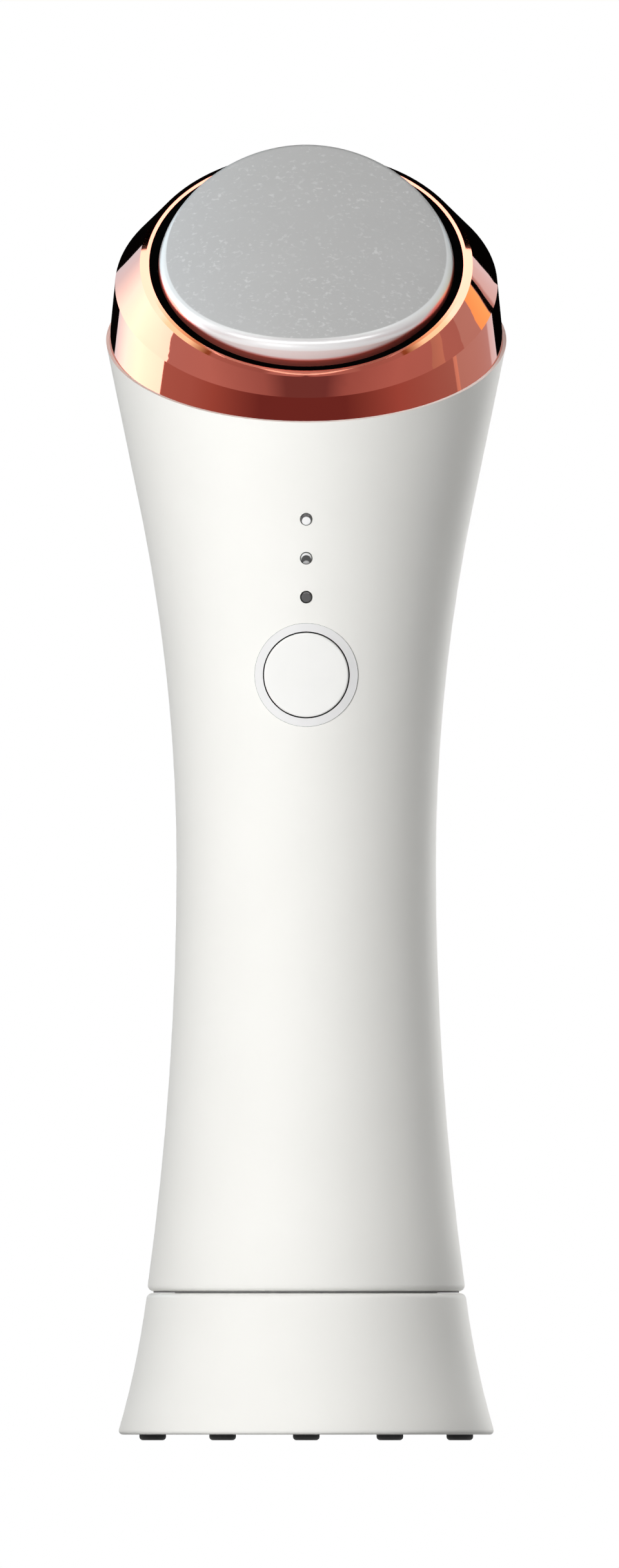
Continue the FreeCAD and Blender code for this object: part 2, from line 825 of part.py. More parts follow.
# Bottom cap, seal, contacts and cap screws
cap_radius = handle_r(cap_top, handle_wall) - part_gap
seal_z = cap_top - seal_below_top
seal_ring_radius = handle_r(seal_z + seal_section, handle_wall) - seal_section - fit_gap
foot_top = cap_top + chassis_foot_thickness


def build_cap():
    disc = rod(cap_radius, 0, 0, cap_under, cap_top)
    groove_z = seal_z - seal_section - fit_gap
    groove_height = 2 * (seal_section + fit_gap)
    groove = rod(cap_radius + part_gap, 0, 0, groove_z, groove_z + groove_height)
    core = rod(seal_ring_radius - seal_section - fit_gap, 0, 0, groove_z, groove_z + groove_height)
    holes = [groove.cut(core)]
    spots = [on_circle(cap_boss_circle, angle) for angle in cap_boss_angles]
    for x, y in spots + [(0, -foot_screw_y), (0, foot_screw_y)]:
        holes.append(rod(screw_radius + screw_clearance, x, y, cap_under, cap_top))
        holes.append(rod(screw_head_radius + screw_clearance, x, y,
                         cap_under, cap_under + screw_head_height))
    for x in (-pin_offset, pin_offset):
        holes.append(rod(contact_radius + fit_gap, x, 0, cap_under, cap_under + contact_thickness))
        holes.append(rod(contact_stem_radius + fit_gap, x, 0, cap_under, cap_top))
    return disc.cut(joined(holes))


def build_contact(x):
    pad = rod(contact_radius, x, 0, cap_under, cap_under + contact_thickness)
    return joined([pad, rod(contact_stem_radius, x, 0, cap_under, foot_top + contact_stem_rise)])


cap_seat = cap_under + screw_head_height
cap_screw_solids = []
for angle in cap_boss_angles:
    x, y = on_circle(cap_boss_circle, angle)
    cap_screw_solids.append(screw(x, y, cap_seat, cap_top + cap_screw_grip))
for sign in (-1, 1):
    cap_screw_solids.append(screw(0, sign * foot_screw_y, cap_seat, foot_top - part_gap))
nodes["bottom_cap"] = build_cap()
nodes["cap_seal"] = Part.makeTorus(seal_ring_radius, seal_section, V(0, 0, seal_z), Z_AXIS)
nodes["cap_screws"] = Part.makeCompound(cap_screw_solids)
nodes["charge_contacts"] = Part.makeCompound([build_contact(-pin_offset), build_contact(pin_offset)])

# Chassis
chassis_back = chassis_front_y + chassis_thickness
battery_top_z = battery_bottom_z + battery_length
stop_low_top = battery_bottom_z - tab_thickness
stop_high_bottom = battery_top_z + tab_thickness
charge_lead_z = foot_top + contact_stem_rise + charge_lead_lift
tab_lead_z = stop_high_bottom + lead_radius + lead_seat
board_screw_spots = [(sign * board_screw_x, z)
                     for sign in (-1, 1) for z in (board_screw_low_z, board_screw_high_z)]


def build_chassis():
    pieces = [
        box(-chassis_half_width, chassis_half_width, chassis_front_y, chassis_back, cap_top, chassis_top_z),
        box(-chassis_foot_half_width, chassis_foot_half_width,
            -chassis_foot_half_depth, chassis_foot_half_depth, cap_top, foot_top)]
    for z in (battery_bottom_z + saddle_end_gap, battery_top_z - saddle_end_gap):
        pieces.append(box(-saddle_half_width, saddle_half_width,
                          chassis_back - match, chassis_back + saddle_depth,
                          z - saddle_height / 2, z + saddle_height / 2))
    pieces.append(box(-tab_width, tab_width, chassis_back - match, chassis_back + stop_depth,
                      stop_low_top - stop_thickness, stop_low_top))
    pieces.append(box(-tab_width, tab_width, chassis_back - match, chassis_back + stop_depth,
                      stop_high_bottom, stop_high_bottom + stop_thickness))
    pieces.append(box(-motor_saddle_half_width, motor_saddle_half_width, chassis_back - match, motor_y,
                      motor_saddle_z, motor_saddle_z + motor_saddle_height))
    for x, z in board_screw_spots:
        pieces.append(rod_y(standoff_radius, x, z, board_back, chassis_back))
    holes = [
        rod(battery_radius + fit_gap, 0, battery_y, battery_bottom_z, battery_top_z),
        rod(motor_radius + fit_gap, 0, motor_y, motor_bottom_z, motor_bottom_z + motor_length)]
    pilot_end = board_back + board_screw_grip + part_gap
    for x, z in board_screw_spots:
        holes.append(rod_y(screw_radius + thread_gap, x, z, board_back, pilot_end))
    for sign in (-1, 1):
        holes.append(rod(contact_stem_radius + screw_clearance, sign * pin_offset, 0, cap_top, foot_top))
        holes.append(rod(screw_radius + thread_gap, 0, sign * foot_screw_y, cap_top, foot_top))
    lead_spots = [(-pin_offset, charge_lead_z), (pin_offset, charge_lead_z),
                  (battery_lead_x, tab_lead_z), (-battery_lead_x, low_lead_z)]
    for x, z in lead_spots:
        holes.append(rod_y(lead_radius + lead_hole_gap, x, z, chassis_front_y, chassis_back))
    return joined(pieces).cut(joined(holes))


nodes["chassis"] = build_chassis()


# Main board with its parts
def front_box(half_width, half_height, thickness, x, z):
    return box(x - half_width, x + half_width, board_front - thickness, board_front,
               z - half_height, z + half_height)


board = box(-board_half_width, board_half_width, board_front, board_back, board_bottom_z, board_top_z)
board_holes = [rod_y(screw_radius + screw_clearance, x, z, board_front, board_back)
               for x, z in board_screw_spots]
nodes["main_board"] = board.cut(joined(board_holes))
nodes["board_chips"] = Part.makeCompound([
    front_box(chip_half, chip_half, chip_thickness, 0, chip_z),
    front_box(charger_half, charger_half, charger_thickness, 0, charger_z),
    front_box(coil_half, coil_half, coil_thickness, coil_x, coil_z)])
nodes["indicator_leds"] = Part.makeCompound(
    [front_box(led_width / 2, led_height / 2, led_thickness, 0, z) for z in pipe_heights.values()])


def build_board_screw(x, z):
    placed = upright_screw(board_thickness + board_screw_grip)
    placed.rotate(ORIGIN, X_AXIS, 90)
    placed.translate(V(x, board_front, z))
    return placed


nodes["board_screws"] = Part.makeCompound([build_board_screw(x, z) for x, z in board_screw_spots])

# Light pipes, flush with the handle
outline = handle_solid(0, handle_bottom_z, shell_top)
pipe_back = board_front - led_thickness - pipe_led_gap


def build_pipe(z):
    pipe = rod_y(pipe_radius, 0, z, -overrun, pipe_back).common(outline)
    front_edges = []
    for face in pipe.Faces:
        if isinstance(face.Surface, (Part.Plane, Part.Cylinder)):
            continue
        front_edges = face.OuterWire.Edges
    return pipe.makeFillet(pipe_dome, front_edges)


for name, z in pipe_heights.items():
    nodes["light_pipe_" + name] = build_pipe(z)


# Bezel, button and switch
def build_bezel():
    raised = handle_solid(-bezel_proud, handle_bottom_z, shell_top)
    sleeve = rod_y(bezel_radius, 0, button_z, -overrun, bezel_back).common(raised)
    bore = rod_y(button_radius + button_running_gap, 0, button_z, -overrun, 0)
    return sleeve.cut(bore)


def build_button():
    slope = math.asin((button_z - waist_z) / upper_flare)
    front = handle_r(button_z, 0) + button_proud
    direction = V(0, -math.sin(slope), math.cos(slope))
    normal = V(0, math.cos(slope), math.sin(slope))
    centre = V(0, -front, button_z) + normal * button_face_radius - direction * overrun
    face_body = Part.makeCylinder(button_face_radius, 2 * overrun, centre, direction)
    cap = rod_y(button_radius, 0, button_z, -overrun, button_flange_back).common(face_body)
    front_edges = []
    for face in cap.Faces:
        if isinstance(face.Surface, Part.Cylinder) and face.Surface.Radius > button_radius + match:
            front_edges = face.OuterWire.Edges
    cap = cap.makeFillet(button_edge, front_edges)
    flange = rod_y(button_flange_radius, 0, button_z, button_flange_front, button_flange_back)
    return joined([cap, flange])


switch_half = switch_side / 2
cup = rod_y(plunger_radius + plunger_running_gap, 0, button_z, switch_front, switch_front + switch_cup)
nodes["button_bezel"] = build_bezel()
nodes["power_button"] = build_button()
nodes["switch_housing"] = front_box(switch_half, switch_half, switch_height, 0, button_z).cut(cup)
nodes["switch_plunger"] = rod_y(plunger_radius, 0, button_z, plunger_top,
                                switch_front + switch_cup - button_travel - fit_gap)

# Battery and tabs
nodes["battery_cell"] = rod(battery_radius, 0, battery_y, battery_bottom_z, battery_top_z)
tab_y0 = battery_y - tab_width / 2
tab_y1 = battery_y + tab_width / 2
nodes["battery_tabs"] = Part.makeCompound([
    box(-tab_reach, tab_width, tab_y0, tab_y1, stop_low_top, battery_bottom_z),
    box(-tab_width, tab_reach, tab_y0, tab_y1, battery_top_z, stop_high_bottom)])


# Vibration motor
def build_strap():
    outer = motor_radius + fit_gap + strap_thickness
    z0 = motor_saddle_z
    z1 = motor_saddle_z + motor_saddle_height
    band = rod(outer, 0, motor_y, z0, z1)
    ears = box(-outer - strap_ear, outer + strap_ear, motor_y, motor_y + strap_thickness, z0, z1)
    strap = joined([band, ears]).cut(rod(motor_radius + fit_gap, 0, motor_y, z0, z1))
    return strap.cut(box(-overrun, overrun, -overrun, motor_y, z0, z1))


motor_top_z = motor_bottom_z + motor_length
shaft_hole = rod(shaft_radius + shaft_running_gap, 0, motor_y, motor_bottom_z, motor_bottom_z + shaft_grip)
nodes["motor_can"] = rod(motor_radius, 0, motor_y, motor_bottom_z, motor_top_z).cut(shaft_hole)
nodes["motor_strap"] = build_strap()
nodes["motor_shaft"] = rod(shaft_radius, 0, motor_y, motor_bottom_z - shaft_reach,
                           motor_bottom_z + shaft_grip - shaft_end_gap)
weight_top = motor_bottom_z - weight_drop
weight_bottom = weight_top - weight_height
half_disc = rod(weight_radius, 0, motor_y, weight_bottom, weight_top).cut(
    box(-overrun, overrun, -overrun, motor_y, weight_bottom, weight_top))
weight_blank = joined([half_disc, rod(weight_hub_radius, 0, motor_y, weight_bottom, weight_top)])
nodes["eccentric_weight"] = weight_blank.cut(
    rod(shaft_radius + weight_fit, 0, motor_y, weight_bottom, weight_top))

# Leads
board_mid_y = (board_front + board_back) / 2
head_lead_w = frame_under - lead_radius - part_gap
peltier_leads = []
motor_leads = []
charge_leads = []
for sign in (-1, 1):
    board_end = V(sign * peltier_lead_x, board_mid_y, board_top_z + lead_seat)
    start = head_place.multVec(V(sign * peltier_lead_x, -peltier_half - lead_seat, head_lead_w))
    corner = head_place.multVec(V(sign * peltier_lead_x, -sink_length / 2 - sink_lead_gap, head_lead_w))
    arch_z = chassis_top_z + lead_arch
    above_board = V(sign * peltier_lead_x, board_mid_y, arch_z)
    peltier_leads.append(lead([start, corner, above_board, board_end], lead_radius))
    motor_leads.append(lead([
        V(sign * motor_lead_x, motor_y, motor_top_z + lead_seat),
        V(sign * motor_lead_x, motor_y, arch_z),
        V(sign * motor_lead_board_x, board_mid_y, arch_z),
        V(sign * motor_lead_board_x, board_mid_y, board_top_z + lead_seat)], lead_radius))
    stem_end = foot_top + contact_stem_rise + lead_seat
    charge_leads.append(lead([
        V(sign * pin_offset, 0, stem_end),
        V(sign * pin_offset, 0, charge_lead_z),
        V(sign * pin_offset, board_mid_y, charge_lead_z),
        V(sign * pin_offset, board_mid_y, board_bottom_z - lead_seat)], lead_radius))
low_lead = lead([
    V(-battery_lead_x, battery_y, battery_bottom_z + lead_seat),
    V(-battery_lead_x, battery_y, low_lead_z),
    V(-battery_lead_x, board_back + lead_seat, low_lead_z)], lead_radius)
high_lead = lead([
    V(battery_lead_x, battery_y, tab_lead_z),
    V(battery_lead_x, board_back + lead_seat, tab_lead_z)], lead_radius)
nodes["peltier_leads"] = Part.makeCompound(peltier_leads)
nodes["motor_leads"] = Part.makeCompound(motor_leads)
nodes["charge_leads"] = Part.makeCompound(charge_leads)
nodes["battery_leads"] = Part.makeCompound([low_lead, high_lead])

os.makedirs("parts", exist_ok=True)
for name, shape in nodes.items():
    shape.exportStep("parts/" + name + ".step")
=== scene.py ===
import math

import bmesh
import bpy
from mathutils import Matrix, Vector


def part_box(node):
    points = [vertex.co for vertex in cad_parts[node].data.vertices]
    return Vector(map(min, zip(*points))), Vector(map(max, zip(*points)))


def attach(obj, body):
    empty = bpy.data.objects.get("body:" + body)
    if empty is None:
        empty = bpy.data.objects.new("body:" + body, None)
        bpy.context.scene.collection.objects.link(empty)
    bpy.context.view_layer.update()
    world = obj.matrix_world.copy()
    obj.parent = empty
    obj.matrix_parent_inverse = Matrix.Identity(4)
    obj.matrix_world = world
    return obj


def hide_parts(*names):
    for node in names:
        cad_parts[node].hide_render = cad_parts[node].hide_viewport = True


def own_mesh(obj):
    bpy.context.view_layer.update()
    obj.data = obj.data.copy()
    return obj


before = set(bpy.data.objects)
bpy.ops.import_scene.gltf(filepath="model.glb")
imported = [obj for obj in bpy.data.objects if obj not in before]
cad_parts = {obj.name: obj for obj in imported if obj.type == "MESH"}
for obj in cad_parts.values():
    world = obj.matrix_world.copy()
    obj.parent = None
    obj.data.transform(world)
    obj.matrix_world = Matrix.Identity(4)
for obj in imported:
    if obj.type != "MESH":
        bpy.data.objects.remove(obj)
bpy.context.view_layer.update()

# Hot and cold face massager on its charging stand: finishes, studio and camera.
# Metres, in the frame of the model: Z is up and the front faces -Y.
MM = 0.001

# The photograph's frame, and the level view that it was taken from
IMAGE_HEIGHT = 2431
OBJECT_PIXELS = 2011
OBJECT_HEIGHT = 160 * MM
CENTRE_COLUMN_OFFSET = 0.4 * MM
FRAME_MIDDLE_Z = 80.95 * MM
CAMERA_DISTANCE = 0.6

# What the lamps and the reflector cards stand round
BODY_MIDDLE = Vector((0, 0, 80 * MM))
HEAD_MIDDLE = Vector((0, 0, 145 * MM))

# The tilted oval of the plate's blasted face, which runs out over the top edge
HEAD_TILT = math.radians(36)
FACE_CENTRE = (0, -0.27 * MM, 145.63 * MM)
FACE_HALF_WIDTH = 17.3 * MM
FACE_HALF_LENGTH = 21.03 * MM

# Shares of that oval over which the plate's edge and wall begin
EDGE_BEGINS = (0.996, 1.004)
WALL_BEGINS = (1.045, 1.055)

# Heights above the head's middle plane between which the painted reflection of the rose-gold ring at the
# wall's foot fades
WALL_FOOT = 0.65 * MM
WALL_FOOT_END = 1.05 * MM

# The button's axis runs along Y, and a line of painted shade of this radius lies between button and bezel
BUTTON_CENTRE = (0, 0, 94.4 * MM)
BUTTON_LINE = 5.27 * MM

# Steps from trace to trace on the boards, and from contact to contact in the inlet
TRACE_PITCH = 1.1 * MM
CONTACT_PITCH = 3.14 * MM

# Points of a skin that are closer than this are one, and edges sharper than this stay sharp
JOIN_DISTANCE = 0.001 * MM
SHARP_ANGLE = math.radians(30)

# A size that leaves an axis out of a distance
FAR = 1000.0

# Noise levels at which a soft patch is darkest and lightest, and patches of gloss to a patch of colour
CLOUD_DARK = 0.3
CLOUD_LIGHT = 0.7
GLOSS_PATCHES = 2.3

# Scale of a wave texture whose bands are a metre apart, by the direction that crosses them
WAVE_SCALE = {"X": math.pi / 10, "DIAGONAL": math.pi / 5}


def grey(level):
    return (level, level, level)


def add_to_scene(name, data):
    made = bpy.data.objects.new(name, data)
    bpy.context.scene.collection.objects.link(made)
    return made


def set_sockets(node, **values):
    # A socket's name is written with _ for a space.
    for name, value in values.items():
        node.inputs[name.replace("_", " ")].default_value = value


def set_stops(ramp, stops):
    # Stops are (position, colour or grey level), in order.
    points = ramp.elements
    points[0].position = stops[0][0]
    points[-1].position = stops[-1][0]
    for position, _ in stops[1:-1]:
        points.new(position)
    for point, (_, colour) in zip(points, stops):
        point.color = (*(colour if isinstance(colour, tuple) else grey(colour)), 1)


# A principled material whose detail follows the object's own coordinates
class Finish:
    def __init__(self, name, **sockets):
        self.material = bpy.data.materials.new(name)
        self.material.use_nodes = True
        self.tree = self.material.node_tree
        self.shader = next(node for node in self.tree.nodes if node.type == "BSDF_PRINCIPLED")
        self.place = self.node("ShaderNodeTexCoord").outputs["Object"]
        set_sockets(self.shader, **sockets)

    def node(self, kind, **settings):
        made = self.tree.nodes.new(kind)
        for name, value in settings.items():
            setattr(made, name, value)
        return made

    def join(self, output, target):
        self.tree.links.new(output, target)

    def feed(self, socket, output):
        self.join(output, self.shader.inputs[socket])

    def stretched(self, x, y, z):
        # The object's coordinates with each axis scaled.
        mapping = self.node("ShaderNodeMapping")
        set_sockets(mapping, Scale=(x, y, z))
        self.join(self.place, mapping.inputs["Vector"])
        return mapping.outputs["Vector"]

    def texture(self, kind, scale, place=None, **settings):
        # A texture of one scale, on the object's coordinates or on another place.
        made = self.node(kind, **settings)
        set_sockets(made, Scale=scale)
        self.join(place or self.place, made.inputs["Vector"])
        return made

    def noise(self, size, detail=2.0, roughness=0.5, place=None):
        made = self.texture("ShaderNodeTexNoise", 1 / size, place)
        set_sockets(made, Detail=detail, Roughness=roughness)
        return made.outputs["Fac"]

    def cells(self, size):
        return self.texture("ShaderNodeTexVoronoi", 1 / size).outputs["Distance"]

    def bands(self, pitch, axis, place=None):
        scale = WAVE_SCALE[axis] / pitch
        return self.texture("ShaderNodeTexWave", scale, place, bands_direction=axis).outputs["Fac"]

    def axis(self, name):
        split = self.node("ShaderNodeSeparateXYZ")
        self.join(self.place, split.inputs["Vector"])
        return split.outputs[name]

    def ramp(self, value, stops, easing="LINEAR"):
        made = self.node("ShaderNodeValToRGB")
        made.color_ramp.interpolation = easing
        set_stops(made.color_ramp, stops)
        self.join(value, made.inputs["Fac"])
        return made.outputs["Color"]

    def remap(self, value, **limits):
        made = self.node("ShaderNodeMapRange")
        set_sockets(made, **limits)
        self.join(value, made.inputs["Value"])
        return made.outputs["Result"]

    def spread(self, value, low, high):
        # A value from 0 to 1 as a number between low and high.
        return self.remap(value, To_Min=low, To_Max=high)

    def between(self, value, low, high):
        # Where a value lies between low and high, as a number from 0 to 1.
        return self.remap(value, From_Min=low, From_Max=high)

    def reach(self, middle, sizes, tilt=0.0):
        # Distance from a point, with each axis measured in its own size and the axes tilted about X.
        mapping = self.node("ShaderNodeMapping", vector_type="TEXTURE")
        set_sockets(mapping, Location=middle, Rotation=(tilt, 0, 0), Scale=sizes)
        self.join(self.place, mapping.inputs["Vector"])
        made = self.node("ShaderNodeVectorMath", operation="LENGTH")
        self.join(mapping.outputs["Vector"], made.inputs[0])
        return made.outputs["Value"]

    def product(self, first, second):
        made = self.node("ShaderNodeMath", operation="MULTIPLY")
        self.join(first, made.inputs[0])
        self.join(second, made.inputs[1])
        return made.outputs["Value"]

    def over(self, below, above, mask):
        # One colour laid over another where the mask is 1.
        made = self.node("ShaderNodeMix", data_type="RGBA")
        self.join(mask, made.inputs["Factor"])
        colours = [socket for socket in made.inputs if socket.type == "RGBA"]
        for socket, colour in zip(colours, (below, above)):
            if isinstance(colour, tuple):
                socket.default_value = (*colour, 1)
            else:
                self.join(colour, socket)
        return next(socket for socket in made.outputs if socket.type == "RGBA")

    def clouds(self, size, dark, light, detail=2.0):
        # Soft patches of two tones.
        return self.ramp(self.noise(size, detail), [(CLOUD_DARK, dark), (CLOUD_LIGHT, light)])

    def uneven_gloss(self, size, low, high, detail=2.0):
        self.feed("Roughness", self.spread(self.noise(size, detail), low, high))

    def bump(self, height, depth):
        made = self.node("ShaderNodeBump")
        set_sockets(made, Distance=depth)
        self.join(height, made.inputs["Height"])
        self.feed("Normal", made.outputs["Normal"])

    def grain(self, size, depth, detail=2.0):
        self.bump(self.noise(size, detail), depth)


# Finishes
def mottled(name, dark, light, patch, grain, depth, rough, **sockets):
    # A moulded or cast surface: faint patches of colour, uneven gloss and a fine grain.
    finish = Finish(name, **sockets)
    finish.feed("Base Color", finish.clouds(patch, dark, light, detail=3.0))
    finish.uneven_gloss(patch / GLOSS_PATCHES, *rough)
    finish.grain(grain, depth, detail=3.0)
    return finish


def drawn_metal(name, dark, light, streaks, rough, depth):
    # Metal with fine streaks, left by drawing, turning or brushing and counted to the metre along each axis.
    finish = Finish(name, Metallic=1.0)
    lines = finish.noise(1.0, detail=4.0, roughness=0.6, place=finish.stretched(*streaks))
    finish.feed("Base Color", finish.ramp(lines, [(0.25, dark), (0.75, light)]))
    finish.feed("Roughness", finish.spread(lines, *rough))
    finish.bump(lines, depth)
    return finish


PLATE_POLISHED = grey(0.8)
PLATE_FLECK = grey(0.625)
# Painted reflection of the rose-gold ring on the foot of the plate's wall
FOOT_PAINTED_REFLECTION = (1.0, 0.22, 0.17)


def plate_finish():
    # Fine blasted face with pale flecks, and a polished rounded edge and wall with a line of painted
    # reflection of the rose-gold ring at its foot.
    finish = Finish("plate_aluminium", Specular_IOR_Level=0.4)
    oval = finish.reach(FACE_CENTRE, (FACE_HALF_WIDTH, FACE_HALF_LENGTH, FAR), HEAD_TILT)
    edge = finish.between(oval, *EDGE_BEGINS)
    wall = finish.between(oval, *WALL_BEGINS)
    millimetres = finish.reach(FACE_CENTRE, (FAR, FAR, MM), HEAD_TILT)
    foot = finish.between(millimetres, WALL_FOOT_END / MM, WALL_FOOT / MM)
    wall_metal = finish.ramp(foot, [(0.0, 0.4), (1.0, 0.87)])
    # The wall's colour: polished grey, with the painted copper reflection near its foot
    wall_tone_and_reflection = finish.ramp(foot, [(0.0, PLATE_POLISHED), (1.0, FOOT_PAINTED_REFLECTION)])
    cloud = finish.clouds(9 * MM, 0.49, 0.505, detail=3.0)
    flecks = finish.ramp(finish.noise(0.65 * MM, roughness=0.6), [(0.56, 0.0), (0.69, 1.0)])
    patches = finish.ramp(finish.noise(4 * MM), [(0.35, 0.25), (0.6, 1.0)])
    face = finish.over(cloud, PLATE_FLECK, finish.product(flecks, patches))
    finish.feed("Base Color", finish.over(face, finish.over(PLATE_POLISHED, wall_tone_and_reflection, wall), edge))
    finish.feed("Metallic", finish.over(grey(0.12), wall_metal, wall))
    finish.feed("Roughness", finish.ramp(edge, [(0.0, 0.5), (1.0, 0.28)]))
    finish.grain(0.2 * MM, 0.004 * MM, detail=3.0)
    return finish


def rose_gold_finish():
    # Polished plating, very slightly wavy.
    finish = Finish("rose_gold", Metallic=1.0)
    finish.feed("Base Color", finish.clouds(12 * MM, (0.70, 0.232, 0.158), (0.74, 0.25, 0.174)))
    finish.uneven_gloss(2.5 * MM, 0.02, 0.045, detail=3.0)
    finish.grain(5 * MM, 0.004 * MM, detail=1.0)
    return finish


# Tones of the painted reflections on the lenses
LENS_WHITE = 0.88
LENS_PALE = 0.8
LENS_GREY = 0.42
LENS_DIM = 0.07
LENS_DARK = 0.045

# Half of the share over which a disc's edge fades, and how much lighter the pale patches of a rim are
LENS_SOFT = 0.06
RIM_LIGHTER = 1.15


def lens_finish(name, node, rim, discs):
    # Light pipe seen end on: a dark rim of painted shade, then lighter and darker discs laid over it as
    # painted reflections.
    # A disc is (shift up, radius, tone), with lengths as shares of the pipe's radius.
    low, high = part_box(node)
    radius = (high.z - low.z) / 2
    finish = Finish(name, Roughness=0.14, Coat_Weight=0.4)
    colour = finish.clouds(0.3 * MM, rim, RIM_LIGHTER * rim)
    for shift, size, tone in discs:
        distance = finish.reach((0, 0, low.z + radius * (1 + shift)), (radius, FAR, radius))
        colour = finish.over(colour, grey(tone), finish.between(distance, size + LENS_SOFT, size - LENS_SOFT))
    finish.feed("Base Color", colour)
    return finish


# Colour of the painted shade in the gap round the button
GAP_PAINTED_SHADE = grey(0.03)


def paint_shade_by_button(finish, clear, dark):
    # Paints shade onto the walls of the gap between the button and its bezel, where the gap lies in shadow.
    # Clear and dark are the shares of the line's radius at which this painted shade starts and is complete.
    plain = finish.shader.inputs["Base Color"].links[0].from_socket
    distance = finish.reach(BUTTON_CENTRE, (BUTTON_LINE, FAR, BUTTON_LINE))
    finish.feed("Base Color", finish.over(plain, GAP_PAINTED_SHADE, finish.between(distance, clear, dark)))


def board_finish():
    # Green solder mask over patches of copper traces that run up or across, and small plated holes.
    # The main board stands and the charging board lies, so the steps across either are along Y + Z.
    finish = Finish("board_green", Roughness=0.4)
    trace = [(0.66, 0.0), (0.76, 1.0)]
    up = finish.ramp(finish.bands(TRACE_PITCH, "X"), trace)
    across = finish.ramp(finish.bands(TRACE_PITCH, "DIAGONAL", finish.stretched(0, 1, 1)), trace)
    turned = finish.ramp(finish.noise(8 * MM, detail=0.0), [(0.495, 0.0), (0.505, 1.0)])
    clear = finish.ramp(finish.noise(5 * MM, detail=0.0), [(0.4, 1.0), (0.41, 0.0)])
    traces = finish.over(finish.over(up, across, turned), grey(0.0), clear)
    mask = finish.clouds(6 * MM, (0.012, 0.085, 0.04), (0.016, 0.11, 0.05))
    coated = finish.over(mask, (0.035, 0.17, 0.07), traces)
    holes = finish.ramp(finish.cells(2.6 * MM), [(0.13, 1.0), (0.16, 0.0)])
    finish.feed("Base Color", finish.over(coated, (0.5, 0.48, 0.4), holes))
    finish.bump(traces, 0.02 * MM)
    return finish


def battery_finish():
    # Shrink sleeve in blue with a pale band at each end.
    low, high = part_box("battery_cell")
    finish = Finish("battery_wrap")
    height = finish.between(finish.axis("Z"), low.z, high.z)
    bands = finish.ramp(height, [(0.0, 0.7), (0.06, 0.0), (0.94, 1.0)], "CONSTANT")
    blue = finish.clouds(8 * MM, (0.03, 0.09, 0.2), (0.04, 0.11, 0.24))
    finish.feed("Base Color", finish.over(blue, (0.72, 0.72, 0.7), bands))
    finish.uneven_gloss(3 * MM, 0.25, 0.38)
    finish.grain(1.5 * MM, 0.03 * MM, detail=3.0)
    return finish


def lead_finish():
    # Insulated leads: red on the right, black on the left.
    finish = Finish("lead_red")
    across = finish.between(finish.axis("X"), -1 * MM, 1 * MM)
    right = finish.ramp(across, [(0.0, 0.0), (0.5, 1.0)], "CONSTANT")
    red = finish.clouds(2 * MM, (0.36, 0.02, 0.016), (0.46, 0.03, 0.022))
    finish.feed("Base Color", finish.over((0.02, 0.02, 0.021), red, right))
    finish.uneven_gloss(1 * MM, 0.4, 0.55)
    finish.grain(0.3 * MM, 0.01 * MM)
    return finish


def tongue_finish():
    # Black tongue with a row of gold contacts.
    finish = Finish("usb_tongue", Roughness=0.4)
    contacts = finish.ramp(finish.bands(CONTACT_PITCH, "X"), [(0.5, 0.0), (0.6, 1.0)])
    finish.feed("Base Color", finish.over(grey(0.018), (0.6, 0.42, 0.16), contacts))
    finish.feed("Metallic", contacts)
    finish.bump(contacts, 0.02 * MM)
    return finish


# Plastics, rubbers and ceramics
white_shell = mottled("white_shell", (0.858, 0.852, 0.818), (0.878, 0.872, 0.838), patch=14 * MM,
                      grain=0.13 * MM, depth=0.006 * MM, rough=(0.42, 0.52), Specular_IOR_Level=0.12)
button_white = mottled("button_white", (0.872, 0.87, 0.85), (0.89, 0.888, 0.868), patch=5 * MM,
                       grain=0.1 * MM, depth=0.004 * MM, rough=(0.4, 0.48), Specular_IOR_Level=0.12)
bezel_grey = mottled("bezel_grey", (0.78, 0.778, 0.776), (0.805, 0.803, 0.801), patch=4 * MM,
                     grain=0.09 * MM, depth=0.004 * MM, rough=(0.36, 0.44), Specular_IOR_Level=0.25)
black_plastic = mottled("black_plastic", grey(0.012), grey(0.018), patch=4 * MM,
                        grain=0.12 * MM, depth=0.01 * MM, rough=(0.5, 0.62))
# Black insulator in the plate's groove, kept darker than the other black plastic and without gloss as painted
# shade in the groove
groove_black_and_shade = mottled("groove_black_and_shade", grey(0.001), grey(0.002), patch=2 * MM,
                       grain=0.12 * MM, depth=0.01 * MM, rough=(0.6, 0.75), Specular_IOR_Level=0.0)
black_rubber = mottled("black_rubber", grey(0.016), grey(0.026), patch=1.5 * MM,
                       grain=0.15 * MM, depth=0.03 * MM, rough=(0.6, 0.78))
# Grey rubber seat in the seam under the handle, whose dark tone is partly painted shade for the seam
seat_rubber_and_shade = mottled("seat_rubber_and_shade", grey(0.1), grey(0.13), patch=1.5 * MM,
                      grain=0.15 * MM, depth=0.03 * MM, rough=(0.6, 0.78))
chip_black = mottled("chip_black", grey(0.02), grey(0.03), patch=2 * MM,
                     grain=0.08 * MM, depth=0.01 * MM, rough=(0.55, 0.7))
ceramic_white = mottled("ceramic_white", (0.8, 0.8, 0.78), (0.85, 0.85, 0.83), patch=5 * MM,
                        grain=0.1 * MM, depth=0.008 * MM, rough=(0.5, 0.65))
pad_grey = mottled("pad_grey", grey(0.16), grey(0.2), patch=2 * MM,
                   grain=0.2 * MM, depth=0.02 * MM, rough=(0.7, 0.85))
sensor_black = mottled("sensor_black", grey(0.02), grey(0.03), patch=1 * MM,
                       grain=0.15 * MM, depth=0.02 * MM, rough=(0.3, 0.45))
led_white = mottled("led_white", (0.8, 0.78, 0.6), (0.86, 0.84, 0.68), patch=0.6 * MM,
                    grain=0.1 * MM, depth=0.01 * MM, rough=(0.3, 0.4))
